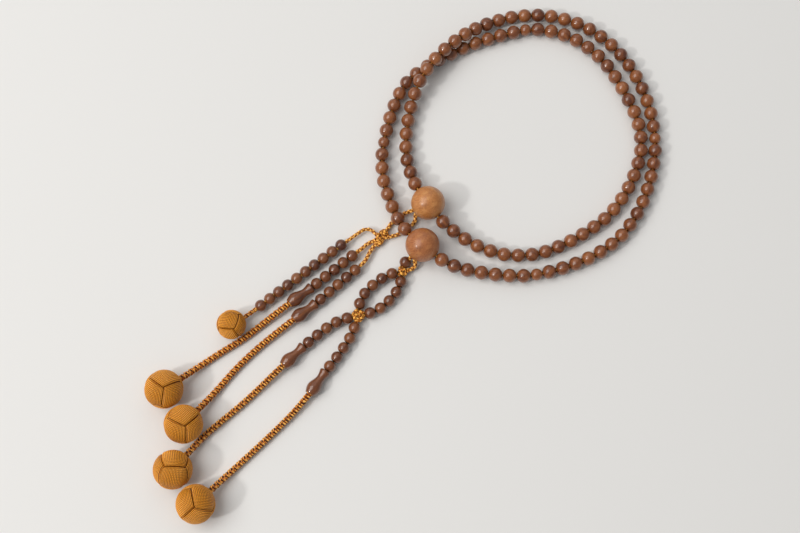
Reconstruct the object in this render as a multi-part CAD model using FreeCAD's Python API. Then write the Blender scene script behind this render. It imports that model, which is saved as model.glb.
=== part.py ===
"""A 108-bead prayer strand laid out flat as a double loop, with five ball tassels.

One loop cord carries the main beads and four marker beads between two parent beads.
Three tassel strands hang from the upper parent bead and two from the lower one.
Millimetres, +Z up, resting on z = 0, origin under the middle of the whole layout.
"""
import FreeCAD, Part
import math
import os

os.makedirs("parts", exist_ok=True)
Vector = FreeCAD.Vector

# ---------------------------------------------------------------- driving dimensions
main_bead = 8.2              # diameter
main_bore = 2.4
marker_bead = 7.0
parent_bead = 19.5
parent_bore = 3.2
parent_side_bore = 4.9       # where the two bridle cords come out
loop_cord = 1.2              # diameter
strand_bead = 6.8
strand_bore = 3.0
strand_cord = 2.0            # four-strand braid through the small beads
counting_gap = 0.26          # between neighbouring counting beads
strand_gap = 0.37            # between the five beads of a tassel strand
tail_cord = 2.8              # short fat braid that ends at the small ball
tassel_cord = 4.3            # eight-strand square braid
drop_length = 15.8
big_ball = 21.4
small_ball = 16.5
cover_thickness = 1.2
pivot_gap = 0.3              # clearance at every joint in a cord
neck_reach = 1.3             # from a ball's surface to the pivot of its neck
beads_per_run = (7, 14, 33)  # main beads before, between and after a half's two markers



def bored_length(diameter, bore):
    """Length of a bored ball along its hole."""
    return math.sqrt(diameter**2 - bore**2)


strand_bead_length = bored_length(strand_bead, strand_bore)
counting_pitch = strand_bead_length + counting_gap
strand_pitch = strand_bead_length + strand_gap
floor_height = tassel_cord / 2 + 0.05
bead_height = strand_bead / 2
parent_height = parent_bead / 2


# ---------------------------------------------------------------- directions and routes
def heading(angle, rise=0.0):
    """Unit vector at a plan angle from +X and a rise from the table, both in degrees."""
    a, r = math.radians(angle), math.radians(rise)
    return Vector(math.cos(a) * math.cos(r), math.sin(a) * math.cos(r), math.sin(r))


def vectors(points):
    return [Vector(*p) for p in points]


class Route:
    """Straight runs joined by tangent arcs, each as large as its two runs allow."""

    def __init__(self, points):
        self.edges = []
        self.radii = []
        here = points[0]
        for corner, following in zip(points[1:], points[2:]):
            start = here if not self.edges else self.last_corner
            run_in, run_out = corner - start, following - corner
            turn = run_in.getAngle(run_out)
            self.last_corner = corner
            if turn < 1e-4:
                continue
            cut = 0.45 * min(run_in.Length, run_out.Length)
            radius = cut / math.tan(turn / 2)
            into, out = run_in.normalize(), run_out.normalize()
            first, last = corner - into * cut, corner + out * cut
            inward = (out - into).normalize()
            rise = radius / math.cos(turn / 2) - radius
            middle = corner + inward * rise
            self.edges.append(Part.LineSegment(here, first).toShape())
            self.edges.append(Part.Arc(first, middle, last).toShape())
            self.radii.append(radius)
            here = last
        self.edges.append(Part.LineSegment(here, points[-1]).toShape())
        self.length = sum(edge.Length for edge in self.edges)

    def at(self, distance):
        """Point and direction at a distance along the route."""
        for edge in self.edges:
            if distance <= edge.Length or edge is self.edges[-1]:
                where = edge.getParameterByLength(min(distance, edge.Length))
                return edge.valueAt(where), edge.tangentAt(where)
            distance -= edge.Length

    def tube(self, diameter):
        start, along = self.at(0)
        section = Part.Wire(Part.Circle(start, along, diameter / 2).toShape())
        solid = Part.Wire(self.edges).makePipeShell([section], True, True)
        expected = math.pi * diameter**2 / 4 * self.length
        print(f"    tube {diameter} mm, {self.length:.1f} mm long, least radius"
              f" {min(self.radii, default=0):.1f}, volume ratio {solid.Volume / expected:.4f}")
        return solid


# ---------------------------------------------------------------- shapes
def placed(shape, point, along):
    """A copy of a shape made on +Z at the origin, turned to a direction and moved to a point."""
    copy = shape.copy()
    copy.Placement = FreeCAD.Placement(point, FreeCAD.Rotation(Vector(0, 0, 1), along))
    return copy


def bored_bead(diameter, bore):
    hole = Part.makeCylinder(bore / 2, 2 * diameter, Vector(0, 0, -diameter))
    return Part.makeSphere(diameter / 2).cut(hole)


def drop_bead():
    """Turned drop, flared top at z = 0 and mouth at z = drop_length, bored for both cords."""
    top, waist, bulb = 3.3, 2.3, 4.0
    mouth = tassel_cord / 2 + 0.4
    outline = Part.BSplineCurve()
    outline.interpolate([Vector(top - 0.4, 0, 0), Vector(top, 0, 0.9), Vector(2.7, 0, 3.0),
                         Vector(waist, 0, 5.2), Vector(2.95, 0, 7.9), Vector(bulb, 0, 11.4),
                         Vector(3.5, 0, 14.2), Vector(mouth + 0.15, 0, drop_length)])
    rim = Vector(mouth + 0.15, 0, drop_length)
    bottom, start = Vector(0, 0, drop_length), Vector(0, 0, 0)
    edges = [outline.toShape(), Part.makeLine(rim, bottom), Part.makeLine(bottom, start),
             Part.makeLine(start, Vector(top - 0.4, 0, 0))]
    body = Part.Face(Part.Wire(edges)).revolve(Vector(0, 0, 0), Vector(0, 0, 1), 360)
    thread = Part.makeCylinder(strand_bore / 2, drop_length)
    pocket = Part.makeCylinder(mouth, drop_length, Vector(0, 0, 8.6))
    return body.cut(thread).cut(pocket)


def rounded_knot(centre, radius, height):
    """Squat round knot about an upright axis through its centre."""
    knot = Part.makeCylinder(radius, height, centre - Vector(0, 0, height / 2))
    rims = [edge for edge in knot.Edges if edge.Curve.TypeId == "Part::GeomCircle"]
    return knot.makeFillet(0.4 * height, rims)


def save(name, *shapes):
    shape = shapes[0] if len(shapes) == 1 else Part.makeCompound(list(shapes))
    shape.exportStep(f"parts/{name}.step")
    low = shape.optimalBoundingBox(False).ZMin
    print(f"{name}: {len(shape.Solids)} solid, valid {shape.isValid()}, lowest {low:.2f}")


# ---------------------------------------------------------------- the double loop
upper_parent = Vector(8.8, 28.3, parent_height)
lower_parent = Vector(5.4, 3.5, parent_height)
upper_bore = heading(-55)    # from the outer half's side to the inner half's side
lower_bore = heading(140)
bore_exit = 10.8             # the loop cord stays straight this far from a parent's centre
exit_drop = Vector(0, 0, -0.3)
lying = main_bead / 2

outer_route = [lower_parent, lower_parent - lower_bore * bore_exit + exit_drop] + vectors([
    (21.6, -7.4, 6.5), (31, -9.8, 4.3), (45, -12.2, lying), (65, -13.6, lying),
    (85, -9.2, lying), (105, -1.4, lying), (121, 9.6, lying), (133, 26, lying),
    (140.6, 45, lying), (144.8, 66, lying), (142.4, 89, lying), (135, 110, lying),
    (121.4, 129.4, lying), (103, 142.4, lying), (81, 148, lying), (60, 146, lying),
    (43, 139.6, 6.2), (29.6, 130.4, 11.2), (16, 118.5, 12.1), (5, 104, 11.2),
    (-0.2, 89, 5.3), (-3.2, 73, lying), (-3.4, 58, 4.2), (-0.6, 46, 6.3)])
outer_route += [upper_parent - upper_bore * bore_exit + exit_drop, upper_parent]

inner_route = [lower_parent, lower_parent + lower_bore * bore_exit + exit_drop] + vectors([
    (-8.4, 19.2, 6.4), (-12.6, 30, 4.4), (-17, 44, lying), (-17.6, 58, lying),
    (-15.4, 71, lying), (-11.2, 87, lying), (-3.4, 104, lying), (12.4, 116, lying),
    (35, 127.8, lying), (53, 133.8, lying), (75, 139.4, lying), (97, 134, lying),
    (114.6, 120.6, lying), (126.6, 101, lying), (134.8, 81, lying), (136.2, 63, lying),
    (128, 40.6, lying), (114.6, 22.2, lying), (94, 8.4, lying), (73, -0.6, lying),
    (53, -1.3, lying), (36, 4.6, 4.3), (23.4, 12.6, 6.4)])
inner_route += [upper_parent + upper_bore * bore_exit + exit_drop, upper_parent]

print("loop cord")
cord_ends = 0.4              # the two ends of the loop cord meet in the lower parent bead
closed = outer_route + inner_route[-2::-1]
closed[0] = lower_parent - lower_bore * cord_ends
closed[-1] = lower_parent + lower_bore * cord_ends
save("loop_cord", Route(closed).tube(loop_cord))

main, marker = bored_bead(main_bead, main_bore), bored_bead(marker_bead, main_bore)
spins = {}                   # bead that spins on its cord: its centre and its bore


def half_loop(side, points, markers):
    """The main beads and two marker beads of one half, evenly spaced between the parents."""
    route = Route(points)
    sizes = []
    for count in beads_per_run:
        sizes += [main_bead] * count + [marker_bead]
    sizes.pop()
    lengths = [bored_length(size, main_bore) for size in sizes]
    gap = (route.length - parent_bead - sum(lengths)) / (len(sizes) + 1)
    print(f"{side} half {route.length:.1f} mm, bead gap {gap:.3f},"
          f" least radius {min(route.radii):.1f}")
    distance = parent_bead / 2
    run, runs = [], iter(("first", "second", "third"))
    names = iter(markers)
    for size, length in zip(sizes, lengths):
        distance += gap + length / 2
        point, along = route.at(distance)
        distance += length / 2
        if size == main_bead:
            run.append(placed(main, point, along))
            continue
        save(f"main_beads_{side}_{next(runs)}", *run)
        run, name = [], next(names)
        save(name, placed(marker, point, along))
        spins[name] = (point, along)
    save(f"main_beads_{side}_{next(runs)}", *run)


half_loop("outer", outer_route, ("marker_bead_bottom", "marker_bead_right"))
half_loop("inner", inner_route, ("marker_bead_left", "marker_bead_top"))


# ---------------------------------------------------------------- parent beads
upper_side = heading(208, -30)
lower_side = heading(232, -28)


def parent(centre, bore, side):
    """Three-holed bead: a bore for the loop cord and a side hole for the bridle cords."""
    ball = placed(bored_bead(parent_bead, parent_bore), centre, bore)
    return ball.cut(Part.makeCylinder(parent_side_bore / 2, parent_bead, centre + side * 3, side))


save("upper_parent_bead", parent(upper_parent, upper_bore, upper_side))
save("lower_parent_bead", parent(lower_parent, lower_bore, lower_side))


# ---------------------------------------------------------------- knots
fan_knot = Vector(-19.0, 8.8, 2.5)
fan_knot_radius = 3.4
fan_knot_height = 4.8
entry_knot = Vector(-5.8, -10.7, bead_height)
entry_knot_radius = 2.2
entry_knot_height = 4.8
cross_knot = Vector(-31.0, -36.2, bead_height)
cross_knot_radius = 3.0
cross_knot_height = 4.8


def beside(knot, radius, angle):
    """Where a cord's flat end stops beside a knot."""
    return knot + heading(angle) * (radius + pivot_gap)


collar = Part.makeSphere(2.0, Vector(-15.9, 12.2, 2.4))
save("fan_knot", rounded_knot(fan_knot, fan_knot_radius, fan_knot_height).fuse(collar))
save("entry_knot", rounded_knot(entry_knot, entry_knot_radius, entry_knot_height))
save("cross_knot", rounded_knot(cross_knot, cross_knot_radius, cross_knot_height))


# ---------------------------------------------------------------- bridles at the parents
def side_by_side(centre, side, offset, distance):
    """A point in a parent's side hole, off its axis so that two cords lie side by side."""
    across = Vector(0, 0, 1).cross(side).normalize()
    return centre + side * distance + across * offset


hole_depth, hole_mouth = 5.5, 10.2
half_cord = strand_cord / 2 + 0.05
print("bridle cords")
upper_bridle = [side_by_side(upper_parent, upper_side, -half_cord, hole_depth),
                side_by_side(upper_parent, upper_side, -half_cord, hole_mouth)] + vectors([
                    (-3.6, 24.4, 2.2), (-8.2, 22.4, 1.2), (-12.0, 18.4, 1.5), (-14.3, 14.2, 2.2)])
lower_bridle = [side_by_side(upper_parent, upper_side, half_cord, hole_depth),
                side_by_side(upper_parent, upper_side, half_cord, hole_mouth)] + vectors([
                    (2.2, 20.2, 2.6), (0.3, 17.4, 1.4), (-4.1, 13.9, 1.2), (-9.6, 10.6, 1.8)])
lower_bridle.append(beside(fan_knot, fan_knot_radius, 3))
save("bridle_cords", Route(upper_bridle).tube(strand_cord), Route(lower_bridle).tube(strand_cord))

guard_bead = Vector(-4.1, -5.2, bead_height)
guard_start = side_by_side(lower_parent, lower_side, -half_cord, hole_mouth)
guard_along = (guard_bead - guard_start).normalize()
inner_leg = [side_by_side(lower_parent, lower_side, -half_cord, hole_depth), guard_start,
             guard_bead + guard_along * 3.6]
outer_leg = [side_by_side(lower_parent, lower_side, half_cord, hole_depth),
             side_by_side(lower_parent, lower_side, half_cord, hole_mouth)] + vectors([
                 (2.0, -6.2, 3.5), (0.4, -9.4, 3.2)])
outer_leg.append(beside(entry_knot, entry_knot_radius, 12))
print("entry cords")
save("entry_cords", Route(inner_leg).tube(strand_cord), Route(outer_leg).tube(strand_cord))
small_bead = bored_bead(strand_bead, strand_bore)
save("guard_bead", placed(small_bead, guard_bead, guard_along))
spins["guard_bead"] = (guard_bead, guard_along)


# ---------------------------------------------------------------- ring of the lower side
def beads_on(route, first, pitch, count):
    """Strand beads on a route, the first one's centre at a distance along it."""
    return [placed(small_bead, *route.at(first + n * pitch)) for n in range(count)]


print("ring cords")
ring_left = Route([beside(entry_knot, entry_knot_radius, 193)] + vectors([
    (-12.7, -12.1, bead_height), (-19.3, -15.8, bead_height), (-26.2, -21.8, bead_height),
    (-30.0, -28.0, bead_height)]) + [beside(cross_knot, cross_knot_radius, 84)])
ring_right = Route([beside(entry_knot, entry_knot_radius, 262)] + vectors([
    (-7.0, -18.8, bead_height), (-11.0, -25.6, bead_height), (-17.9, -32.0, bead_height),
    (-24.0, -34.9, bead_height)]) + [beside(cross_knot, cross_knot_radius, 15)])
save("ring_cords", ring_left.tube(strand_cord), ring_right.tube(strand_cord))
first_on_ring = strand_bead / 2 + 0.2
for name, route in (("left", ring_left), ("right", ring_right)):
    pitch = (route.length - 2 * first_on_ring) / 4
    save(f"ring_beads_{name}", *beads_on(route, first_on_ring, pitch, 5))


# ---------------------------------------------------------------- ball tassels
def ball(name, centre, diameter, along, cord):
    """Wound ball on its core, whose neck ends in a round nose at the pivot; returns the pivot."""
    radius, inner = diameter / 2, diameter / 2 - cover_thickness
    reach = radius + neck_reach
    core = Part.makeSphere(inner - 0.1, centre)
    neck = Part.makeCylinder(cord / 2 - 0.1, reach, centre, along * -1)
    pivot = centre - along * reach
    save(f"{name}_core", core.fuse(neck).fuse(Part.makeSphere(cord / 2 - 0.1, pivot)))
    shell = Part.makeSphere(radius, centre).cut(Part.makeSphere(inner, centre))
    hole = Part.makeCylinder(cord / 2 + 0.15, 2 * radius, centre, along * -1)
    save(f"{name}_cover", shell.cut(hole))
    return pivot


hinges = {}                  # joint in a cord: its pivot and the direction of the piece that moves
neck_rise = 20
run_up = 10.8                # the last run of a tassel cord, up to its ball

drop = drop_bead()
drop_rise = math.degrees(math.asin(0.0526))


def tassel(name, thread, drop_angle, lifts, cord_points, ball_place, ball_angle):
    """One strand: thread, five beads, drop bead, tassel cord and ball.

    The thread runs from its knot to the top of the drop bead. Where the tassel cord lifts,
    its root ends in a round nose at the drop's mouth and the cord starts clear of it.
    """
    print(name)
    top, down = thread[-1], heading(drop_angle, drop_rise)
    mouth = top + down * drop_length
    route = Route(thread + [top + down * 7.5])
    root = [route.tube(strand_cord)]
    if lifts:
        stub = Part.makeCylinder(tassel_cord / 2 - 0.1, 5, mouth - down * 5, down)
        root = [root[0], stub.fuse(Part.makeSphere(tassel_cord / 2 - 0.1, mouth))]
        hinges[f"{name}_lift"] = (mouth, down)
    save(f"{name}_cord", *root)
    last = Route(thread).length - strand_bead_length / 2 - strand_gap
    save(f"{name}_beads", *beads_on(route, last - 4 * strand_pitch, strand_pitch, 5))
    save(f"{name}_drop", placed(drop, top, down))

    centre = Vector(*ball_place, big_ball / 2)
    up = heading(ball_angle, neck_rise)
    pivot = ball(f"{name}_ball", centre, big_ball, up, tassel_cord)
    hinges[f"{name}_ball_pitch"] = (pivot, up)
    end = pivot - up * (tassel_cord / 2 + pivot_gap)
    points = vectors(cord_points)
    if lifts:
        start = mouth + (points[0] - mouth).normalize() * (tassel_cord / 2 + pivot_gap)
    else:
        start = mouth - down * 3.5
        points.insert(0, mouth + down * 6)
    corner = end - up * run_up
    corner.z = floor_height
    cord = [start] + points + [corner, end]
    print("    points", [tuple(round(c, 2) for c in p) for p in cord])
    save(f"{name}_tassel_cord", Route(cord).tube(tassel_cord))


tassel("fan_strand_upper",
       [beside(fan_knot, fan_knot_radius, 203)] + vectors([
           (-25.2, 6.3, 2.8), (-28.4, 3.1, 3.2), (-32.2, 0.25, bead_height),
           (-57.3, -20.2, bead_height)]),
       217, False,
       [(-85, -41.3, floor_height), (-95.5, -49.8, floor_height), (-107, -56.8, floor_height)],
       (-137.4, -78.8), 217)
tassel("fan_strand_lower",
       [beside(fan_knot, fan_knot_radius, 236)] + vectors([
           (-24.2, 1.7, 2.8), (-26.2, -3.4, 3.2), (-29.6, -7.4, bead_height),
           (-54.8, -29.4, bead_height)]),
       217, True,
       [(-76.2, -45.6, 3.0), (-87.5, -54.9, floor_height), (-99.5, -66.6, floor_height)],
       (-126.2, -97.9), 229)
tassel("pair_strand_upper",
       [beside(cross_knot, cross_knot_radius, 195)] + vectors([
           (-40.6, -38.6, bead_height), (-48.8, -43.4, bead_height),
           (-61.5, -53.9, bead_height)]),
       224, False,
       [(-87, -78.6, floor_height), (-97.5, -88.3, floor_height), (-107.2, -96.3, floor_height)],
       (-131.1, -122.4), 231)
tassel("pair_strand_lower",
       [beside(cross_knot, cross_knot_radius, 257)] + vectors([
           (-34.4, -47.4, bead_height), (-41.0, -57.8, bead_height),
           (-49.0, -67.8, bead_height)]),
       235, True,
       [(-65.3, -89.7, 3.0), (-76.2, -100.6, floor_height), (-88.6, -112.4, floor_height)],
       (-118.3, -140.7), 224.5)


# ---------------------------------------------------------------- counting strand
print("counting strand")
count_angle = 218.1
count_along = heading(count_angle)
first_bead = Vector(-40.9, 4.6, bead_height)
bend = first_bead - count_along * 13.5
last_bead = first_bead + count_along * (9 * counting_pitch)
counting = Route([beside(fan_knot, fan_knot_radius, 125)] + vectors([
    (-22.6, 13.6, 2.7), (-26.2, 14.4, 3.1)]) + [bend, last_bead + count_along * 4.5])
small_centre = Vector(-101.8, -42.4, small_ball / 2)
small_up = heading(216.3, 30)
small_pivot = ball("small_ball", small_centre, small_ball, small_up, tail_cord)
hinges["small_ball_pitch"] = (small_pivot, small_up)
tail_start = last_bead + count_along * (strand_bead_length / 2 + counting_gap)
tail_run = small_pivot - tail_start
tail = Part.makeCylinder(tail_cord / 2, tail_run.Length - tail_cord / 2 - pivot_gap,
                         tail_start, tail_run)
save("counting_cord", counting.tube(strand_cord).fuse(tail))
for n in range(10):
    save(f"counting_bead_{n + 1:02d}",
         placed(small_bead, first_bead + count_along * (n * counting_pitch), count_along))

for name, (point, along) in {**spins, **hinges}.items():
    print(name, [round(c, 3) for c in point], [round(c, 5) for c in along])
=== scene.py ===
"""A 108-bead prayer strand of polished plum wood, laid flat as a double loop.

Turned wooden beads are strung on a thin twisted cord between two parent beads, and five tassels
of braided silk hang from the parents, each ending in a ball wound of silk thread.
"""
import math

import bmesh
import bpy
import numpy as np
from mathutils import Matrix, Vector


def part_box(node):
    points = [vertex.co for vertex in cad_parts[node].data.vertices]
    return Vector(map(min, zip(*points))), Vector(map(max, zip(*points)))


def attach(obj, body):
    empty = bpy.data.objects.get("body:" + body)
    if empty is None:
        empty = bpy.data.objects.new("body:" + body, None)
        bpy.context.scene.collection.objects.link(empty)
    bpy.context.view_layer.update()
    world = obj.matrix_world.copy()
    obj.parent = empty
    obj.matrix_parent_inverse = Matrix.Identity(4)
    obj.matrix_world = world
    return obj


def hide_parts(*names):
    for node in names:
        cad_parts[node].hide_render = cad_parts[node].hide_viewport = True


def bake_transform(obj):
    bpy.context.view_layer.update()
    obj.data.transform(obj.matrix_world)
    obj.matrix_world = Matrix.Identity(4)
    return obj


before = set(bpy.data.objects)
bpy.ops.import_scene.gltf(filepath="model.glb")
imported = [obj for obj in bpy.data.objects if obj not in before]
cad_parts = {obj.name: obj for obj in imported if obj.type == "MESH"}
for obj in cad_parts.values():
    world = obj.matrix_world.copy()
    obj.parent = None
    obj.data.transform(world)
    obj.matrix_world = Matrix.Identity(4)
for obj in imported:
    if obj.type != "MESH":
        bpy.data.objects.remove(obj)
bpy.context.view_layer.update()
MM = 0.001


# ---------------------------------------------------------------- main beads
# 108 plum wood beads, turned round, drilled through and buffed to a soft shine. Half of them
# run one way round from the parent beads and half the other, each half split by its markers.
def linear(hex_colour):
    """An sRGB hex colour as linear RGBA."""
    srgb = np.array([int(hex_colour[i:i + 2], 16) / 255 for i in (1, 3, 5)])
    rgb = np.where(srgb <= 0.04045, srgb / 12.92, ((srgb + 0.055) / 1.055) ** 2.4)
    return (*(float(c) for c in rgb), 1.0)


def add(material, kind, inputs=None, **settings):
    """Adds one node; inputs are values, or outputs of other nodes, by socket name or number."""
    node = material.node_tree.nodes.new(kind)
    for name, value in settings.items():
        setattr(node, name, value)
    for socket, value in (inputs or {}).items():
        if isinstance(value, bpy.types.NodeSocket):
            material.node_tree.links.new(value, node.inputs[socket])
        else:
            node.inputs[socket].default_value = value
    return node


def ramp(material, factor, stops):
    """A colour ramp through (position, hex colour) stops, driven by a factor."""
    node = add(material, "ShaderNodeValToRGB", {"Fac": factor})
    while len(node.color_ramp.elements) < len(stops):
        node.color_ramp.elements.new(0.5)
    for element, (position, colour) in zip(node.color_ramp.elements, stops):
        element.position, element.color = position, linear(colour)
    return node.outputs["Color"]


def new_material(name, base, bump, strength, distance, **shader):
    """A material whose colour and bump come from functions that add their nodes to it."""
    material = bpy.data.materials.new(name)
    material.use_nodes = True
    shading = material.node_tree.nodes["Principled BSDF"]
    for socket, value in shader.items():
        shading.inputs[socket.replace("_", " ")].default_value = value
    link = material.node_tree.links.new
    link(base(material), shading.inputs["Base Color"])
    height = add(material, "ShaderNodeBump",
                 {"Strength": strength, "Distance": distance, "Height": bump(material)})
    link(height.outputs["Normal"], shading.inputs["Normal"])
    return material


def new_piece(name, points, faces, material, body, slot, replaced=(), **attributes):
    """A smooth mesh piece that rides on a body; attributes are one value or vector a point."""
    mesh = bpy.data.meshes.new(name)
    mesh.from_pydata(points.reshape(-1, 3), [], faces)
    for label, values in attributes.items():
        kind = "FLOAT_VECTOR" if values.ndim > points.ndim - 1 else "FLOAT"
        layer = mesh.attributes.new(label, kind, "POINT")
        field = "vector" if kind == "FLOAT_VECTOR" else "value"
        layer.data.foreach_set(field, values.astype(np.float32).ravel())
    mesh.shade_smooth()
    mesh.materials.append(material)
    mesh.validate()
    piece = bpy.data.objects.new(name, mesh)
    bpy.context.collection.objects.link(piece)
    if body:
        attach(piece, body)
    if replaced:
        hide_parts(*replaced)
    return piece


def grid_faces(rows, columns, copies=1, closed=False):
    """Quads of a grid whose columns wrap round, and whose rows do too if it is closed."""
    row, column = np.meshgrid(np.arange(rows - (not closed)), np.arange(columns), indexing="ij")
    below, beside = (row + 1) % rows, (column + 1) % columns
    quads = np.stack([row * columns + column, row * columns + beside,
                      below * columns + beside, below * columns + column], -1).reshape(-1, 4)
    return (quads[None] + (np.arange(copies) * rows * columns)[:, None, None]).reshape(-1, 4)


def strand_faces(count, rows, around):
    """Faces of several capped tubes of the same size."""
    faces = grid_faces(rows, around, count).tolist()
    for first in range(0, count * rows * around, rows * around):
        last = first + (rows - 1) * around
        faces += [tuple(range(first + around - 1, first - 1, -1)),
                  tuple(range(last, last + around))]
    return faces


def bead_places(node):
    """Centre and bore direction of each solid in a CAD node of bored beads.

    The centre is the mean of its surface, and the bore is the direction that the fewest of
    its surface's normals point along.
    """
    shell = bmesh.new()
    shell.from_mesh(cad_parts[node].data)
    bmesh.ops.remove_doubles(shell, verts=shell.verts, dist=1e-6)
    shell.faces.index_update()
    unseen, places = set(shell.faces), []
    while unseen:
        front = [unseen.pop()]
        solid = list(front)
        while front:
            touching = {f for edge in front.pop().edges for f in edge.link_faces} & unseen
            unseen -= touching
            front += touching
            solid += touching
        solid.sort(key=lambda face: face.index)     # sets have no order, and sums need one
        area = np.array([f.calc_area() for f in solid])
        middle = np.array([f.calc_center_median() for f in solid])
        normal = np.array([f.normal for f in solid])
        spread = np.einsum("i,ij,ik->jk", area, normal, normal)
        bore = np.linalg.eigh(spread)[1][:, 0]
        bore = bore * np.sign(bore @ (1, 0.3, 0.1))
        places.append((middle.T @ area / area.sum(), bore))
    shell.free()
    places.sort(key=lambda place: tuple(np.round(place[0], 4)))
    return np.array([c for c, _ in places]), np.array([b for _, b in places])


def beads(name, node, diameter, bore, material, body, slot, around=20):
    """Turned beads, one for each solid of a CAD node, as closed rings about their bores.

    Profile: an arc of a circle from lip to lip, a rounded lip, and the wall of the bore.
    """
    centres, bores = bead_places(node)
    radius, hole, lip = diameter / 2, bore / 2, 0.035 * diameter      # mm
    tilt = math.asin((hole + lip) / radius)
    arc = np.linspace(tilt, math.pi - tilt, 15)
    edge = radius * math.cos(tilt)
    r = np.concatenate([radius * np.sin(arc), [hole + 0.2 * lip, hole, hole, hole + 0.2 * lip]])
    z = np.concatenate([radius * np.cos(arc),
                        [-edge + 0.1 * lip, -edge + lip, edge - lip, edge - 0.1 * lip]])
    turn = np.linspace(0, 2 * math.pi, around, endpoint=False)
    local = np.stack([r[:, None] * np.cos(turn), r[:, None] * np.sin(turn),
                      z[:, None] * np.ones(around)], -1)
    # Each bead's own tone and grain come from where it is, so neighbours differ.
    x, y = centres[:, 0] * 1000, centres[:, 1] * 1000
    tone = 0.5 + 0.5 * np.sin(1.9 * x + 0.7) * np.cos(1.3 * y + 0.2)
    side = np.cross(bores, (0, 0, 1))
    side /= np.linalg.norm(side, axis=1)[:, None]
    up = np.cross(bores, side)
    points = centres[:, None, None] + MM * (local[..., 0, None] * side[:, None, None]
                                            + local[..., 1, None] * up[:, None, None]
                                            + local[..., 2, None] * bores[:, None, None])
    spin, lean = 2.1 * x + y, 0.9 * np.sin(1.7 * y + x)
    a, b = np.cos(spin)[:, None, None], np.sin(spin)[:, None, None]
    gx, gy = a * local[..., 0] - b * local[..., 1], b * local[..., 0] + a * local[..., 1]
    c, s = np.cos(lean)[:, None, None], np.sin(lean)[:, None, None]
    grain = np.stack([c * gx + s * local[..., 2] + (5 * np.sin(x + y))[:, None, None],
                      gy + (9 * np.cos(x))[:, None, None], c * local[..., 2] - s * gx], -1)
    count = len(centres)
    # A row runs across the bead's outside from one end of the bore to the other.
    return new_piece(name, points, grid_faces(len(r), around, count, closed=True), material,
                     body, slot, (node,), grain=grain,
                     tone=np.broadcast_to(tone[:, None, None], points.shape[:-1]))


def plum_wood(name, dark, middle, light, roughness, coat, coat_roughness):
    """Fine, even fruit wood: long cloudy grain, fine fibre streaks, bead to bead tone."""
    def colour(material):
        grain = add(material, "ShaderNodeAttribute", attribute_name="grain").outputs["Vector"]
        along = add(material, "ShaderNodeMapping", {"Vector": grain, "Scale": (1, 1, 0.18)})
        cloud = add(material, "ShaderNodeTexNoise", {"Vector": along.outputs[0], "Scale": 0.42,
                                                     "Detail": 3.0, "Roughness": 0.6})
        thin = add(material, "ShaderNodeMapping", {"Vector": grain, "Scale": (1, 1, 0.05)})
        fibre = add(material, "ShaderNodeTexNoise", {"Vector": thin.outputs[0], "Scale": 3.2,
                                                     "Detail": 2.0, "Roughness": 0.7})
        tone = add(material, "ShaderNodeAttribute", attribute_name="tone").outputs["Fac"]
        lift = add(material, "ShaderNodeMapRange",
                   {"Value": tone, "To Min": -0.16, "To Max": 0.16}).outputs[0]
        level = add(material, "ShaderNodeMath", {0: cloud.outputs["Fac"], 1: lift})
        base = ramp(material, level.outputs[0], [(0.25, dark), (0.5, middle), (0.78, light)])
        streak = ramp(material, fibre.outputs["Fac"],
                      [(0.3, "#b8a394"), (0.5, "#ffffff"), (1.0, "#ffffff")])
        mixed = add(material, "ShaderNodeMix", {0: 0.8, 6: base, 7: streak},
                    data_type="RGBA", blend_type="MULTIPLY")
        return mixed.outputs[2]

    def pores(material):
        grain = add(material, "ShaderNodeAttribute", attribute_name="grain").outputs["Vector"]
        thin = add(material, "ShaderNodeMapping", {"Vector": grain, "Scale": (1, 1, 0.06)})
        return add(material, "ShaderNodeTexNoise", {"Vector": thin.outputs[0], "Scale": 5.0,
                                                    "Detail": 2.0}).outputs["Fac"]

    return new_material(name, colour, pores, 0.12, 0.00005, Roughness=roughness, IOR=1.42,
                        Coat_Weight=coat, Coat_Roughness=coat_roughness, Coat_IOR=1.5)


polished_plum = plum_wood("polished plum wood", "#602f15", "#854b25", "#9d5f32", 0.36, 0.8, 0.06)
for half in ("outer", "inner"):
    for run in ("first", "second", "third"):
        node = f"main_beads_{half}_{run}"
        beads(f"{node}_turned", node, 8.2, 2.4, polished_plum, "loop", "bead_wood")


# ---------------------------------------------------------------- marker beads
# Four slightly smaller beads of the same wood mark the seventh and twenty-first beads.
for place in ("bottom", "right", "left", "top"):
    beads(f"marker_{place}_turned", f"marker_bead_{place}", 7.0, 2.4, polished_plum,
          f"marker_bead_{place}", "marker_wood")


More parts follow.
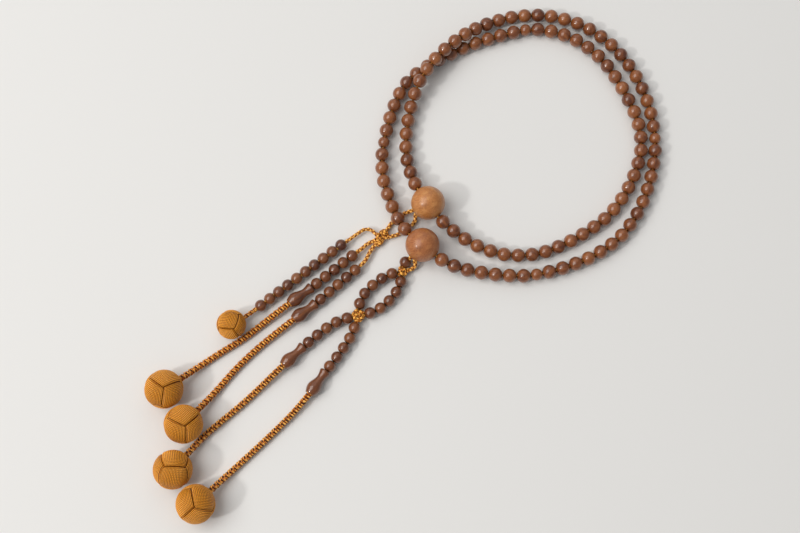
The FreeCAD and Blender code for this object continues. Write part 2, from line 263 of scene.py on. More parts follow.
# ---------------------------------------------------------------- parent beads
# Two large three-holed beads of paler, closer wood, rubbed smooth but not polished, so they
# shine softly. The loop cord goes through the bore, and the bridle cords leave the side hole.
def parent(name, node, side, material, slot):
    """A large bead with its side hole; the bore is not cut.

    The ball is a sphere; at the hole's mouth a narrow lip turns it in, and the wall goes on to
    the hole's depth.
    """
    low, high = (np.array(c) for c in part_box(node))
    centre = (low + high) / 2
    radius = (high - low).max() / 2
    axis = np.array(side) / np.linalg.norm(side)
    across = np.cross(axis, (0, 0, 1))
    across /= np.linalg.norm(across)
    up = np.cross(across, axis)
    mouth, hole_depth, around = 0.0026, 0.005, 72
    start = math.asin(mouth / radius)
    rim = radius * math.cos(start)
    angle = np.concatenate([np.linspace(start, math.pi / 2, 30),
                            np.linspace(math.pi / 2, math.pi - 0.001, 31)[1:]])
    depth = np.concatenate([[rim - hole_depth, rim - 0.0004], radius * np.cos(angle)])
    ring = np.concatenate([[mouth - 0.0003, mouth - 0.00028], radius * np.sin(angle)])
    turn = np.linspace(0, 2 * math.pi, around, endpoint=False)
    points = (centre + depth[:, None, None] * axis
              + ring[:, None, None] * (np.cos(turn)[:, None] * across
                                       + np.sin(turn)[:, None] * up))
    faces = [tuple(reversed(f)) for f in strand_faces(1, len(depth), around)]
    grain_lean = np.array([[0.8, 0, 0.6], [0, 1, 0], [-0.6, 0, 0.8]])
    return new_piece(name, points, faces, material, "loop", slot, (node,),
                     grain=(points - centre) * 1000 @ grain_lean,
                     tone=np.full(points.shape[:-1], 0.5))


def pointing(angle, rise=0.0):
    """Unit vector at a plan angle from +X and a rise from the table, both in degrees."""
    a, r = math.radians(angle), math.radians(rise)
    return np.array([math.cos(a) * math.cos(r), math.sin(a) * math.cos(r), math.sin(r)])


pale_plum = plum_wood("satin pale wood", "#a56837", "#bf7e46", "#d2975a", 0.42, 0.35, 0.22)
rosy_plum = plum_wood("satin rosy wood", "#90562f", "#ac6b3f", "#bd804c", 0.42, 0.28, 0.16)
UPPER_SIDE, LOWER_SIDE = pointing(208, -30), pointing(232, -28)
parent("upper_parent_turned", "upper_parent_bead", UPPER_SIDE, pale_plum, "parent_wood_pale")
parent("lower_parent_turned", "lower_parent_bead", LOWER_SIDE, rosy_plum, "parent_wood")


# ---------------------------------------------------------------- loop cord
# One thin cord of three twisted silk plies runs through every bead of the double loop. It
# shows only as a dark gold thread between the beads.
def tube(path, across, up, width, height, around):
    """Points of a tube about a path, its ring an ellipse on two crosswise unit vectors."""
    turn = np.linspace(0, 2 * math.pi, around, endpoint=False)
    return (path[:, None] + width * np.cos(turn)[:, None] * across[:, None]
            + height * np.sin(turn)[:, None] * up[:, None])


def unit(vectors):
    """Vectors scaled to a length of one."""
    return vectors / np.linalg.norm(vectors, axis=-1, keepdims=True)


def evenly(points, spacing):
    """The same line with points at an even spacing."""
    length = np.concatenate([[0], np.cumsum(np.linalg.norm(np.diff(points, axis=0), axis=1))])
    steps = np.linspace(0, length[-1], max(2, round(length[-1] / spacing) + 1))
    return np.stack([np.interp(steps, length, points[:, i]) for i in range(3)], -1)


BEAD_SQUEEZE, SQUEEZE_RUN = 0.28, 0.0015    # how much thinner in a bead, and over what length
SQUARE_SHARE = 0.93                         # a square braid's half width to a round one's


def along_and_round(distance, turn, ring):
    """Place of each point of a strand: mm along it, and how far round it."""
    return np.stack([np.broadcast_to(distance[:, None] * 1000, ring.shape[:-1]),
                     np.broadcast_to(turn, ring.shape[:-1]), np.zeros(ring.shape[:-1])], -1)


def braid(name, path, diameter, each_way, pitch, material, body, slot, replaced=(),
          squareness=0, about=None, spacing=0.00022, around=6, phase=0.5, flat=1.0, lean=0.35,
          pair=0, sink=0, held=None):
    """A round or square braid about a line: strands wind both ways and pass over and under.

    At angle t a strand is pitch / 2 pi * (t - lean / columns * sin(columns t)) along the line
    and middle + swing cos(columns t) from it, with the sign of its way of winding, so that it
    runs more steeply across where it lies on top. flat is its width as a share of its room,
    pair draws strands together in twos, and sink sets every second one deeper. Beads squeeze
    the braid from held metres along onwards.
    """
    columns = 2
    path = evenly(np.asarray(path), spacing)
    along = unit(np.gradient(path, axis=0))
    outward = (0.0, 0.0, 1.0) if about is None else path - np.array(about)
    across = unit(np.cross(outward, along))
    up = np.cross(along, across)
    s = np.linspace(0, 1, len(path)) * (len(path) - 1) * np.linalg.norm(path[1] - path[0])
    size = diameter / 2
    middle, swing, thick = 0.57 * size, 0.2 * size, 0.23 * size
    # Neighbouring strands are pitch / each_way apart along the line, less across them.
    wide = flat * pitch / each_way / 2 * math.sin(math.atan(
        2 * math.pi * middle / pitch / (1 - lean)))
    rows, strand_points, depth, lengthwise = len(path), [], [], []
    squeeze = np.ones(rows)
    if held is not None:
        squeeze -= BEAD_SQUEEZE * np.clip((s - held) / SQUEEZE_RUN, 0, 1)
    for way in (1, -1):
        for strand in range(each_way):
            step = (strand + pair * (strand % 2)) / each_way * pitch
            t = np.arange(-1, s[-1] / pitch + 3, 0.01) * 2 * math.pi
            angle = np.interp(s + step, pitch / (2 * math.pi)
                              * (t - way * lean / columns * np.sin(columns * t)), t)
            out = middle + way * swing * np.cos(columns * angle) - sink * size * (strand % 2)
            shown = way * angle + phase * math.pi / columns
            if squareness:
                corner = (np.abs(np.cos(shown)) ** squareness
                          + np.abs(np.sin(shown)) ** squareness) ** (-1 / squareness)
                out = out * corner * SQUARE_SHARE
            away = np.cos(shown)[:, None] * across + np.sin(shown)[:, None] * up
            line = path + (out * squeeze)[:, None] * away
            running = unit(np.gradient(line, axis=0))
            normal = unit(away - (away * running).sum(1)[:, None] * running)
            beside = np.cross(running, normal)
            ring = tube(line, beside, normal, wide * squeeze[:, None, None],
                        thick * squeeze[:, None, None], around)
            strand_points.append(ring)
            # depth is how far out from the line a point lies; the silk darkens towards the
            # inside, painted shade in the hollows between strands.
            depth.append(np.linalg.norm(ring - path[:, None], axis=-1) / size)
            turn = np.arange(around) / around
            lengthwise.append(along_and_round(s, turn * 6 + strand * 7.3 + way, ring))
    piece = new_piece(name, np.array(strand_points), strand_faces(2 * each_way, rows, around),
                      material, body, slot, replaced, depth=np.array(depth),
                      fibre=np.array(lengthwise))
    return piece, path


def silk(name, dark, middle, light, roughness, low=0.5, high=1.0, plies=(1.1, 0.5), swing=0.08):
    """Dyed silk yarn: a painted highlight on the crests, painted shade in the depths, and twisted
    plies that cross each strand, painted light and dark as well as raised.

    fibre is the place along a strand and round it; plies is how many cross per unit of each.
    """
    def twisted(material):
        place = add(material, "ShaderNodeAttribute", attribute_name="fibre").outputs["Vector"]
        lean = add(material, "ShaderNodeVectorMath",
                   {0: place, 1: tuple(2 * math.pi * p for p in plies) + (1.0,)},
                   operation="DOT_PRODUCT")
        return add(material, "ShaderNodeMath", {0: lean.outputs["Value"]},
                   operation="SINE").outputs[0]

    def fibres(material):
        place = add(material, "ShaderNodeAttribute", attribute_name="fibre").outputs["Vector"]
        drawn = add(material, "ShaderNodeMapping", {"Vector": place, "Scale": (0.5, 2.2, 1)})
        return add(material, "ShaderNodeTexNoise", {"Vector": drawn.outputs[0], "Scale": 2.0,
                                                    "Detail": 3.0, "Roughness": 0.65})

    def colour(material):
        # Painted shade and highlight: the colour runs from dark where a strand lies deep to light
        # on its crests.
        depth = add(material, "ShaderNodeAttribute", attribute_name="depth").outputs["Fac"]
        uneven = add(material, "ShaderNodeMapRange",
                     {"Value": fibres(material).outputs["Fac"], "To Min": -0.1, "To Max": 0.1})
        level = add(material, "ShaderNodeMath", {0: depth, 1: uneven.outputs[0]})
        # Painted light and shade of the twisted plies: the twist swings the colour lighter and
        # darker.
        level = add(material, "ShaderNodeMath", {0: twisted(material), 1: swing,
                                                 2: level.outputs[0]}, operation="MULTIPLY_ADD")
        return ramp(material, level.outputs[0],
                    [(low, dark), (low + 0.6 * (high - low), middle), (high, light)])

    def relief(material):
        fine = fibres(material).outputs["Fac"]
        return add(material, "ShaderNodeMath", {0: twisted(material), 1: 0.5, 2: fine},
                   operation="MULTIPLY_ADD").outputs[0]

    return new_material(name, colour, relief, 0.5, 0.0002,
                        Roughness=roughness, IOR=1.5, Specular_Tint=(1.0, 0.84, 0.6, 1.0))


# Its darkest colour is painted shade for the braid's depths, its lightest a painted highlight on
# the crests.
gold_silk = silk("gold silk braid", "#180600", "#c8620c", "#ffc462", 0.3, 0.69, 0.94)


def chained(places, start):
    """Bead centres in order along their cord, each nearest to the one before."""
    rest, line = list(places), [start]
    while rest:
        nearest = min(range(len(rest)), key=lambda i: np.linalg.norm(rest[i] - line[-1]))
        line.append(rest.pop(nearest))
    return line


def half_loop(half, markers, ends):
    """Line of the loop cord through one half's beads, from one parent bead to the other."""
    nodes = [f"main_beads_{half}_{run}" for run in ("first", "second", "third")]
    centres = np.concatenate([bead_places(node)[0] for node in nodes
                              + [f"marker_bead_{m}" for m in markers]])
    return chained(centres, ends[0]) + [ends[1]]


def middle_of(node):
    """Middle of a CAD node's box, in metres."""
    low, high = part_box(node)
    return (np.array(low) + np.array(high)) / 2


def through(points, spacing):
    """A smooth line through points: a cubic through each four neighbours in turn."""
    points = np.asarray(points)
    before = np.vstack([2 * points[0] - points[1], points[:-2]])
    here, there = points[:-1], points[1:]
    after = np.vstack([points[2:], 2 * points[-1] - points[-2]])
    t = np.linspace(0, 1, 9)[:-1][:, None, None]
    line = 0.5 * (2 * here + (there - before) * t + (2 * before - 5 * here + 4 * there - after)
                  * t**2 + (3 * here - before - 3 * there + after) * t**3)
    line = np.vstack([line.transpose(1, 0, 2).reshape(-1, 3), points[-1:]])
    return evenly(line, spacing)


lower_parent, upper_parent = middle_of("lower_parent_bead"), middle_of("upper_parent_bead")
lower_bore, upper_bore = pointing(140), pointing(-55)
PARENT_MOUTH = 0.0098               # from a parent bead's middle to the end of its bore
CORD_STEP, CORD_TWIST = 0.0006, 0.004
PLY_OFFSET, PLY_RADIUS, PLY_AROUND = 0.0003, 0.0003, 6
outer_line = half_loop("outer", ("bottom", "right"),
                       (lower_parent - lower_bore * PARENT_MOUTH,
                        upper_parent - upper_bore * PARENT_MOUTH))
inner_line = half_loop("inner", ("left", "top"),
                       (lower_parent + lower_bore * PARENT_MOUTH,
                        upper_parent + upper_bore * PARENT_MOUTH))
loop_path = through([lower_parent - lower_bore * MM] + outer_line + [upper_parent]
                    + inner_line[::-1] + [lower_parent + lower_bore * MM], CORD_STEP)
loop_s = np.arange(len(loop_path)) * CORD_STEP
loop_along = unit(np.gradient(loop_path, axis=0))
loop_across = unit(np.cross((0, 0, 1), loop_along))
loop_up = np.cross(loop_along, loop_across)
plies, ply_depth, ply_fibre = [], [], []
for ply in range(3):
    twist = 2 * math.pi * (loop_s / CORD_TWIST + ply / 3)
    centre = loop_path + PLY_OFFSET * (np.cos(twist)[:, None] * loop_across
                                       + np.sin(twist)[:, None] * loop_up)
    ring = tube(centre, loop_across, loop_up, PLY_RADIUS, PLY_RADIUS, PLY_AROUND)
    plies.append(ring)
    # The silk darkens with this depth towards the cord's middle: painted shade between the plies.
    ply_depth.append(np.linalg.norm(ring - loop_path[:, None], axis=-1)
                     / (PLY_OFFSET + PLY_RADIUS))
    ply_fibre.append(along_and_round(loop_s, np.arange(PLY_AROUND) + 6.0 * ply, ring))
new_piece("loop_cord_twisted", np.array(plies), strand_faces(3, len(loop_path), PLY_AROUND),
          gold_silk, "loop", "loop_cord", ("loop_cord",), depth=np.array(ply_depth),
          fibre=np.array(ply_fibre))


# ---------------------------------------------------------------- bridle cords
# Two four-strand silk braids leave the upper parent bead's side hole together, pass under the
# first beads of the inner half and meet again in the fan knot.
def nurbs_line(points, spacing=0.00022):
    """The smooth line of a cord: a NURBS curve whose control points are the route's points."""
    curve = bpy.data.curves.new("line", "CURVE")
    curve.dimensions = "3D"
    curve.resolution_u = 24
    spline = curve.splines.new("NURBS")
    spline.points.add(len(points) - 1)
    for control, point in zip(spline.points, points):
        control.co = (*(c * MM for c in point), 1)
    spline.order_u = 3
    spline.use_endpoint_u = True
    holder = bpy.data.objects.new("line", curve)
    mesh = bpy.data.meshes.new_from_object(holder)
    line = np.zeros(len(mesh.vertices) * 3)
    mesh.vertices.foreach_get("co", line)
    bpy.data.objects.remove(holder)
    bpy.data.curves.remove(curve)
    bpy.data.meshes.remove(mesh)
    return evenly(line.reshape(-1, 3), spacing)


def thin_braid(name, points, body, replaced=(), diameter=0.00265, held=None):
    """Four-strand braid, 2.65 mm across where it is free, a crossing a side every 2.9 mm."""
    return braid(name, nurbs_line(points), diameter, 2, 0.0058, gold_silk, body, "braid",
                 replaced, flat=0.66, held=held)


def leaving(centre, side, offset):
    """Two points, in mm, of a cord in a parent's side hole and at its mouth.

    offset is off the hole's axis, so that two cords lie side by side.
    """
    across = unit(np.cross((0, 0, 1), side))
    return [tuple(centre / MM + side * distance + across * offset) for distance in (5.5, 10.2)]


ABREAST = 1.05
thin_braid("bridle_far_braid",
           leaving(upper_parent, UPPER_SIDE, -ABREAST)
           + [(-3.6, 24.4, 2.2), (-8.2, 22.4, 1.2), (-12.0, 18.4, 1.5), (-14.3, 14.2, 2.2),
              (-16.5, 12.0, 2.4)], "loop", replaced=("bridle_cords",))
thin_braid("bridle_near_braid",
           leaving(upper_parent, UPPER_SIDE, ABREAST)
           + [(2.2, 20.2, 2.6), (0.3, 17.4, 1.4), (-4.1, 13.9, 1.2), (-9.6, 10.6, 1.8),
              (-17.5, 9.0, 2.5)], "loop")


# ---------------------------------------------------------------- knots
# Each knot is tied from the same silk braid: a fan knot binds the three upper strands, an
# entry knot gathers the cords of the lower parent, and a cross knot joins the ring to its pair.
# The knot's darkest colour is painted shade in its depths, its lightest a painted highlight on
# the crests.
knot_silk = silk("gold silk knot", "#1c0800", "#c2620c", "#ffbe58", 0.32, 0.71, 0.98)


def interlaced(centre, leads, bights, reach, swell, height, turned):
    """Line of an interlaced knot: it winds leads times round while swinging bights times.

    Distance from the middle is reach + swell cos(bights/leads * t), and the height is
    height sin of twice that swing, so that each crossing goes over and then under.
    """
    t = np.linspace(0, 2 * math.pi * leads, 420)
    swing = bights / leads * t
    out = reach + swell * np.cos(swing)
    lift = height * np.sin(swing * 2)
    x, y = out * np.cos(t), out * np.sin(t)
    a = math.radians(turned)
    return np.stack([centre[0] + x * math.cos(a) - y * math.sin(a),
                     centre[1] + x * math.sin(a) + y * math.cos(a), centre[2] + lift], -1) * MM


def wrap(centre, along, across, tall, turns, step):
    """Line of a wrap: a helix about a direction, across wide and tall high, step per turn."""
    t = np.linspace(0, 2 * math.pi * turns, round(90 * turns)) + math.radians(-90)
    side = unit(np.cross((0, 0, 1), along))
    up = np.cross(along, side)
    return (np.array(centre) + (across * np.cos(t))[:, None] * side
            + (tall * np.sin(t))[:, None] * up
            + (step * (t - t.mean()) / (2 * math.pi))[:, None] * along) * MM


def knot_braid(name, line, centre, body, replaced=()):
    """The same braid pulled tight, 2.3 mm across; its outer side faces away from a centre."""
    return braid(name, line, 0.0023, 2, 0.0052, knot_silk, body, "knot_braid", replaced,
                 about=np.array(centre) * MM, flat=0.74)


collar, middle = (-16.3, 11.8, 2.6), (-19.4, 9.7, 2.6)
entry, cross = (-5.8, -10.7, 3.4), (-31.0, -36.2, 3.4)
knot_braid("fan_knot_collar", wrap(collar, pointing(215), 1.6, 1.5, 2.2, 1.5), collar, "loop",
           ("fan_knot",))
knot_braid("fan_knot_middle", wrap(middle, pointing(200), 1.7, 1.5, 1.15, 0.8), middle, "loop")
knot_braid("fan_knot_loop", interlaced((-19.2, 7.2, 2.7), 2, 3, 1.45, 0.65, 0.7, 20),
           (-19.2, 7.2, 0.5), "loop")
knot_braid("entry_knot_wraps", interlaced(entry, 2, 3, 1.45, 0.8, 0.95, 100),
           (entry[0], entry[1], 0.6), "loop", ("entry_knot",))
knot_braid("cross_knot_lobes", interlaced(cross, 3, 4, 2.05, 1.0, 0.9, 5),
           (cross[0], cross[1], 0.4), "pair_ring", ("cross_knot",))


# ---------------------------------------------------------------- entry cords and guard bead
# Two braids leave the lower parent bead's side hole. One goes through the small guard bead
# that keeps the tassels from pulling the knot into the parent, and both end in the entry knot.
guard = middle_of("guard_bead") / MM
near_lead = leaving(lower_parent, LOWER_SIDE, -ABREAST)
guard_along = unit(guard - np.array(near_lead[1]))
thin_braid("entry_near_braid",
           near_lead + [tuple(guard + guard_along * 3.6), (-6.0, -9.4, 3.3)], "loop",
           replaced=("entry_cords",))
thin_braid("entry_far_braid",
           leaving(lower_parent, LOWER_SIDE, ABREAST)
           + [(2.0, -6.2, 3.5), (0.4, -9.4, 3.2), (-4.3, -10.3, 3.3)], "loop")
dark_plum = plum_wood("polished dark plum wood", "#502510", "#75401e", "#8a5228", 0.36, 0.8, 0.06)
SMALL_BEAD, SMALL_BORE = 6.8, 3.0
beads("guard_turned", "guard_bead", SMALL_BEAD, SMALL_BORE, dark_plum, "guard_bead",
      "strand_wood")


# ---------------------------------------------------------------- ring below the entry knot
# Two short braids with five small beads each run from the entry knot to the cross knot.
thin_braid("ring_left_braid",
           [(-6.6, -11.0, 3.4), (-12.7, -12.1, 3.4), (-19.3, -15.8, 3.4), (-26.2, -21.8, 3.4),
            (-30.0, -28.0, 3.4), (-30.9, -34.6, 3.4)], "pair_ring",
           replaced=("ring_cords",), held=0)
thin_braid("ring_right_braid",
           [(-5.9, -11.4, 3.4), (-7.0, -18.8, 3.4), (-11.0, -25.6, 3.4), (-17.9, -32.0, 3.4),
            (-24.0, -34.9, 3.4), (-29.6, -36.0, 3.4)], "pair_ring", held=0)
for side in ("left", "right"):
    beads(f"ring_{side}_turned", f"ring_beads_{side}", SMALL_BEAD, SMALL_BORE, dark_plum,
          "pair_ring", "strand_wood")


# ---------------------------------------------------------------- tassels: thread, beads, drop
# Each tassel is a thin braid with five small beads and a long turned drop, which hides the
# splice into a thick eight-strand square braid.
def turned_drop(name, node, top, angle, rise, body):
    """Turned drop: a profile of radii at distances from its flared top, and its bores."""
    profile = [(0.0, 2.75), (0.25, 3.12), (0.8, 3.3), (1.5, 3.12), (3.0, 2.62), (4.4, 2.34),
               (5.6, 2.35), (6.8, 2.62), (8.2, 3.12), (9.6, 3.66), (10.8, 3.95), (11.8, 4.0),
               (12.9, 3.84), (14.0, 3.47), (15.0, 2.98), (15.6, 2.72), (15.8, 2.6),
               (15.5, 2.5), (9.0, 2.45), (8.8, 1.55), (0.6, 1.5), (0.1, 1.65)]
    z, r = (np.array(values) for values in zip(*profile))
    along = pointing(angle, rise)
    across = unit(np.cross((0, 0, 1), along))
    up = np.cross(along, across)
    turn = np.linspace(0, 2 * math.pi, 32, endpoint=False)
    local = np.stack([r[:, None] * np.cos(turn), r[:, None] * np.sin(turn),
                      np.broadcast_to(z[:, None], (len(z), 32))], -1)
    points = (np.array(top) + local[..., 0, None] * across + local[..., 1, None] * up
              + local[..., 2, None] * along) * MM
    return new_piece(name, points, grid_faces(len(z), 32, closed=True)[:, ::-1], dark_plum, body,
                     "drop_wood", (node,), grain=local * (1.3, 1.3, 0.5) + top[0],
                     tone=np.full(points.shape[:-1], 0.45 + 0.1 * math.sin(top[0])))


SQUARE = {"squareness": 3, "around": 8, "flat": 0.8, "lean": 0.6, "pair": -0.2, "sink": 0.07}


def thick_braid(name, line, body, replaced, phase):
    """Square braid, 4.4 mm across: four strands each way in pairs, a pair every 3.2 mm."""
    return braid(name, line, 0.0044, 4, 0.0064, gold_silk, body, "tassel_braid", replaced,
                 spacing=0.00028, phase=phase, **SQUARE)


DROP_LENGTH = 15.8
DROP_RISE = math.degrees(math.asin(0.0526))
# name, thread from the knot, drop's heading, thick cord from the drop's mouth to the ball
TASSELS = {
    "fan_strand_upper": (
        [(-20.6, 8.0, 2.5), (-25.2, 6.3, 2.8), (-28.4, 3.1, 3.2), (-32.2, 0.25, 3.4),
         (-57.3, -20.2, 3.4)], 217,
        [(-67.11, -27.59, 4.05), (-74.69, -33.3, 4.55), (-85.0, -41.3, 2.2),
         (-95.5, -49.8, 2.2), (-107.0, -56.8, 2.2), (-118.45, -64.52, 2.2),
         (-126.56, -70.63, 5.76)]),
    "fan_strand_lower": (
        [(-19.8, 7.0, 2.5), (-24.2, 1.7, 2.8), (-26.2, -3.4, 3.2), (-29.6, -7.4, 3.4),
         (-54.8, -29.4, 3.4)], 217,
        [(-69.34, -40.37, 3.97), (-76.2, -45.6, 3.0), (-87.5, -54.9, 2.2),
         (-99.5, -66.6, 2.2), (-110.63, -79.99, 2.2), (-117.29, -87.65, 5.76)]),
    "pair_strand_upper": (
        [(-32.6, -36.6, 3.4), (-40.6, -38.6, 3.4), (-48.8, -43.4, 3.4), (-61.5, -53.9, 3.4)],
        224,
        [(-70.34, -62.43, 4.05), (-77.16, -69.02, 4.55), (-87.0, -78.6, 2.2),
         (-97.5, -88.3, 2.2), (-107.2, -96.3, 2.2), (-116.17, -103.96, 2.2),
         (-122.55, -111.85, 5.76)]),
    "pair_strand_lower": (
        [(-31.4, -37.8, 3.4), (-34.4, -47.4, 3.4), (-41.0, -57.8, 3.4), (-49.0, -67.8, 3.4)],
        235,
        [(-59.58, -82.62, 3.97), (-65.3, -89.7, 3.0), (-76.2, -100.6, 2.2),
         (-88.6, -112.4, 2.2), (-101.38, -124.07, 2.2), (-108.62, -131.18, 5.76)]),
}
tassel_lines = {}
for strand, (thread, angle, cord) in TASSELS.items():
    top, down = np.array(thread[-1]), pointing(angle, DROP_RISE)
    mouth = top + down * DROP_LENGTH
    # The fan's threads run bare up to their last point but one, the others hardly at all.
    bare = np.linalg.norm(np.diff(np.array(thread[:-1]), axis=0), axis=1).sum() + 0.3
    held = bare * MM if strand.startswith("fan") else 0.002
    thin_braid(f"{strand}_thread", thread + [tuple(top + down * 7.5)], strand,
               replaced=(f"{strand}_cord",), held=held)
    beads(f"{strand}_turned", f"{strand}_beads", SMALL_BEAD, SMALL_BORE, dark_plum, strand,
          "strand_wood")
    turned_drop(f"{strand}_drop_turned", f"{strand}_drop", top, angle, DROP_RISE, strand)
    tassel_lines[strand] = (cord, mouth, down)


# ---------------------------------------------------------------- balls
# A ball is wound over a core in three crossed bands of silk thread, so that it shows six
# panels. A panel's threads dive under the side of the next one, and three meet at each corner.
# Its darkest colour is painted shade in the grooves and seams, its lightest a painted highlight
# on the threads, and its strong swing paints light and dark dashes on the twisted threads.
ball_silk = silk("wound gold silk thread", "#180600", "#ba5a05", "#ffb43e", 0.36, 0.22, 0.98,
                 (1.0, 0.5), 0.45)


def open_grid(count):
    """Quads of an open square grid."""
    row, column = np.meshgrid(np.arange(count - 1), np.arange(count - 1), indexing="ij")
    first = row * count + column
    return np.stack([first, first + count, first + count + 1, first + 1], -1).reshape(-1, 4)


# mm: how much a panel bulges, a thread's height, how far threads dive at their ends and a
# panel drops at its sides, and the depth at which panels meet
CROWN, THREAD, DIVE, DROP, SEAM = 0.2, 0.46, 1.0, 1.25, 1.5
DIVE_RUN, DROP_RUN = 0.22, 0.07         # the shares of half a panel that these take up


def wound_ball(name, centre, diameter, corner, seam, mirrored, body, replaced, ribs):
    """Six wound panels on a ball, as grids over the faces of a cube blown up to a sphere.

    A point's height is a crown, less a dive at the threads' ends, less a steep drop at the
    panel's sides, with a rounded rib for each thread. corner is the direction of a meeting of
    three panels, and seam the direction in which one of its seams leaves.
    """
    count, radius = 115, diameter / 2                 # points along a panel's side; mm
    line = np.linspace(-1, 1, count)
    u, v = np.meshgrid(line, line, indexing="ij")     # u along the threads, v across them
    flat = np.tan(u * math.pi / 4), np.tan(v * math.pi / 4), np.ones_like(u)
    local = unit(np.stack(flat, -1))
    wave = np.abs(np.cos(v * ribs * math.pi / 2)) ** 0.8
    dive = np.clip((np.abs(u) - (1 - DIVE_RUN)) / DIVE_RUN, 0, 1) ** 2
    drop = np.clip((np.abs(v) - (1 - DROP_RUN)) / DROP_RUN, 0, 1) ** 3
    height = (radius - CROWN - THREAD + CROWN * (1 - v**4) + THREAD * wave * (1 - drop)
              - DIVE * dive - DROP * drop)
    edge = np.maximum(np.abs(u), np.abs(v)) > 0.9999
    height = np.where(edge, radius - SEAM, height)
    # Painted shade for the thread colour: darker in the grooves between threads, where threads
    # dive and down the panel's sides.
    shade = np.clip(0.2 + 0.8 * wave - 0.4 * dive - 0.9 * drop, 0, 1)
    # The panel's threads, its sides, its outward direction, and then the opposite panels.
    sides = [((0, 1, 0), (0, 0, 1), (1, 0, 0)), ((0, 0, 1), (1, 0, 0), (0, 1, 0)),
             ((1, 0, 0), (0, 1, 0), (0, 0, 1))]
    corner, seam = unit(np.array(corner, float)), np.array(seam, float)
    seam = unit(seam - (seam @ corner) * corner)
    third = np.cross(corner, seam)
    from_corner = unit(np.array((1.0, 1.0, 1.0)))
    from_seam = unit(np.array((-1.0, 0, 0)) + from_corner / math.sqrt(3))
    from_third = np.cross(from_corner, from_seam)
    flip = -1 if mirrored else 1
    turn = (np.outer(corner, from_corner) + np.outer(seam, from_seam)
            + flip * np.outer(third, from_third))
    points, depth, fibre, faces, quads = [], [], [], [], open_grid(count)
    sides += [(threads, across, tuple(-c for c in outward)) for threads, across, outward in sides]
    for number, (threads, across, outward) in enumerate(sides):
        basis = np.array([threads, across, outward], float)
        panel = (local @ basis) @ turn.T * height[..., None]
        facing = np.linalg.det(basis) * flip > 0
        faces.append((quads if facing else quads[:, ::-1]) + number * count * count)
        points.append(np.array(centre) + panel)
        depth.append(shade)
        fibre.append(np.stack([u * radius * 0.8, v * ribs, np.full_like(u, number * 3.0)], -1))
    piece = new_piece(name, np.array(points) * MM, np.concatenate(faces), ball_silk, body,
                      "ball_thread", replaced, depth=np.array(depth), fibre=np.array(fibre))
    shell = bmesh.new()
    shell.from_mesh(piece.data)
    bmesh.ops.remove_doubles(shell, verts=shell.verts, dist=2e-6)
    shell.to_mesh(piece.data)
    shell.free()
    return piece


def toward_viewer(right, upward):
    """A direction out of the side that faces up, from how far right and up of its middle."""
    return np.array([right + 0.1, upward - 0.1, math.sqrt(max(0.05, 1 - right**2 - upward**2))])


# Centre, diameter, corner's place, seam's plan angle, mirrored.
BALLS = {
    "fan_strand_upper_ball": ((-137.4, -78.8, 10.7), 21.4, (0.02, 0.08), 24, True),
    "fan_strand_lower_ball": ((-126.2, -97.9, 10.7), 21.4, (0.15, -0.09), 35, True),
    "pair_strand_upper_ball": ((-131.1, -122.4, 10.7), 21.4, (-0.43, 0.23), 0, False),
    "pair_strand_lower_ball": ((-118.3, -140.7, 10.7), 21.4, (-0.04, -0.11), 105, False),
    "small_ball": ((-101.8, -42.4, 8.25), 16.5, (0.17, -0.41), 70, False),
}
for ball, (centre, diameter, place, angle, mirrored) in BALLS.items():
    wound_ball(f"{ball}_wound", centre, diameter, toward_viewer(*place), pointing(angle),
               mirrored, ball, (f"{ball}_core", f"{ball}_cover"),
               15 if ball == "small_ball" else 19)


# ---------------------------------------------------------------- tassel cords
# The thick braid leaves the drop's mouth, lies along the table and turns up into its ball. It
# bends where it leaves a drop that stays down and at its ball.
def ball_pivot(ball, angle, rise):
    """Where a cord bends at its ball, in mm, and the direction in which it goes on into it."""
    centre, diameter = BALLS[ball][:2]
    up = pointing(angle, rise)
    return np.array(centre) - up * (diameter / 2 + 1.3), up


# Plan angles at which the cords enter their balls.
NECKS = {"fan_strand_upper": 217, "fan_strand_lower": 229, "pair_strand_upper": 231,
         "pair_strand_lower": 224.5}
for strand, (cord, mouth, down) in tassel_lines.items():
    pivot, up = ball_pivot(f"{strand}_ball", NECKS[strand], 20)
    lifts = strand.endswith("lower")
    phase = 0.95 if strand.startswith("fan") else 0.62
    line = nurbs_line(cord, 0.0003)
    tail = np.array([pivot + up * step for step in (-1.0, 0.5, 2.0, 3.0)]) * MM
    lead = np.array([mouth + down * step for step in (-5.0, -3.0, -1.0, 0.6)]) * MM
    if not lifts:
        lead = lead[:0]
    line = through(np.vstack([lead, line[6:-6:6], tail]), 0.0003)
    if lifts:
        root = 34       # points of the line in the short piece that bends at the drop's mouth
        piece, _ = thick_braid(f"{strand}_tassel_root", line[:root + 1], None, (), phase)
        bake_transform(piece)
        line = line[root:]
    piece, path = thick_braid(f"{strand}_tassel_braid", line, None, (f"{strand}_tassel_cord",),
                              phase)
    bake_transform(piece)


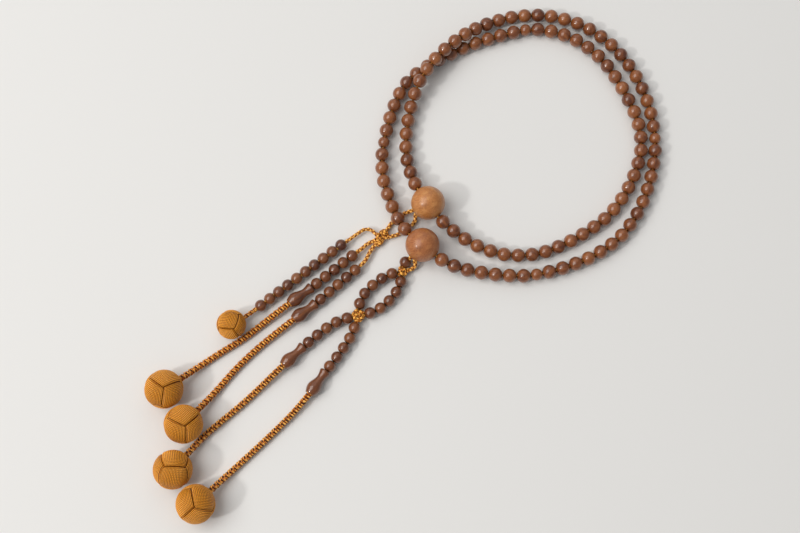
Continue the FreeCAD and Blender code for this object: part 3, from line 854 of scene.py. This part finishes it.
# ---------------------------------------------------------------- counting strand
# The third upper strand is a bare length of thin braid and ten small beads that slide on it
# for counting, then a short fat braid and the small ball.
count_along = pointing(218.1)
first_bead = np.array([-40.9, 4.6, 3.4])
bead_step = math.sqrt(SMALL_BEAD**2 - SMALL_BORE**2) + 0.26
last_bead = first_bead + count_along * 9 * bead_step
bend = first_bead - count_along * 13.5
thin_braid("counting_braid",
           [(-19.6, 9.8, 2.5), (-22.6, 13.6, 2.7), (-26.2, 14.4, 3.1), tuple(bend),
            tuple(last_bead + count_along * 4.5)], "counting_strand",
           replaced=("counting_cord",), diameter=0.0024)
for number in range(1, 11):
    node = f"counting_bead_{number:02d}"
    beads(f"{node}_turned", node, SMALL_BEAD, SMALL_BORE, dark_plum, node, "strand_wood")
small_pivot, small_up = ball_pivot("small_ball", 216.3, 30)
tail_start = last_bead + count_along * 3.2
tail_line = [tail_start, tail_start * 0.5 + small_pivot * 0.5 + (0, 0, -0.15), small_pivot,
             small_pivot + small_up * 2.6]
tail, _ = braid("counting_tail_braid", through(np.array(tail_line) * MM, 0.0003), 0.0030, 4,
                0.0056, gold_silk, None, "tassel_braid", phase=0.8, **SQUARE)
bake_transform(tail)


# ---------------------------------------------------------------- table, light and camera
# A plain matt pale grey surface, a soft key light from the left, a small bright lamp beside it
# that lights the beads' polish, and a wide soft fill from behind.
table_grey = bpy.data.materials.new("matt pale card")
table_grey.use_nodes = True
card = table_grey.node_tree.nodes["Principled BSDF"]
card.inputs["Base Color"].default_value = linear("#e3e2e0")
card.inputs["Roughness"].default_value = 0.9
card.inputs["Specular IOR Level"].default_value = 0.2
speck = add(table_grey, "ShaderNodeTexNoise",
            {"Vector": add(table_grey, "ShaderNodeTexCoord").outputs["Object"],
             "Scale": 900.0, "Detail": 2.0})
tooth = add(table_grey, "ShaderNodeBump", {"Height": speck.outputs["Fac"], "Strength": 0.05,
                                           "Distance": 0.0002})
table_grey.node_tree.links.new(tooth.outputs["Normal"], card.inputs["Normal"])
mesh = bpy.data.meshes.new("table")
mesh.from_pydata([(-3, -3, 0), (3, -3, 0), (3, 3, 0), (-3, 3, 0)], [], [(0, 1, 2, 3)])
mesh.materials.append(table_grey)
table = bpy.data.objects.new("table", mesh)
bpy.context.collection.objects.link(table)
table.location.z = -0.0001


def lamp(name, direction, size, power, colour):
    """A square soft light 2.6 m off in a direction, aimed at the middle of the beads."""
    light = bpy.data.lights.new(name, "AREA")
    light.size, light.energy, light.color = size, power, colour
    holder = bpy.data.objects.new(name, light)
    holder.location = tuple(unit(np.array(direction, float)) * 2.6)
    holder.rotation_euler = (-holder.location).to_track_quat("-Z", "Y").to_euler()
    bpy.context.collection.objects.link(holder)


lamp("key", (-0.64, 0.06, 0.95), 1.9, 42, (1.0, 0.985, 0.96))
lamp("spark", (-0.80, -0.34, 0.74), 0.2, 17, (1.0, 0.985, 0.96))
lamp("fill", (-0.1, 0.9, 0.9), 3.0, 14, (0.97, 0.985, 1.0))
world = bpy.data.worlds.new("studio")
world.use_nodes = True
world.node_tree.nodes["Background"].inputs["Color"].default_value = linear("#e6e6e6")
world.node_tree.nodes["Background"].inputs["Strength"].default_value = 0.365
bpy.context.scene.world = world
bpy.context.scene.view_settings.view_transform = "Standard"

camera_data = bpy.data.cameras.new("camera")
camera_data.lens, camera_data.sensor_width = 54, 36
camera = bpy.data.objects.new("camera", camera_data)
bpy.context.collection.objects.link(camera)
place, aim = np.array([-0.0394, -0.1540, 0.6731]), np.array([-0.007, -0.007, 0.0])
back = unit(place - aim)
right = np.array([0.99888, -0.00507, 0.04697])      # the camera is rolled a little
right = unit(right - (right @ back) * back)
camera.matrix_world = Matrix(np.vstack([
    np.column_stack([right, np.cross(back, right), back, place]), (0, 0, 0, 1)]).tolist())
bpy.context.scene.camera = camera
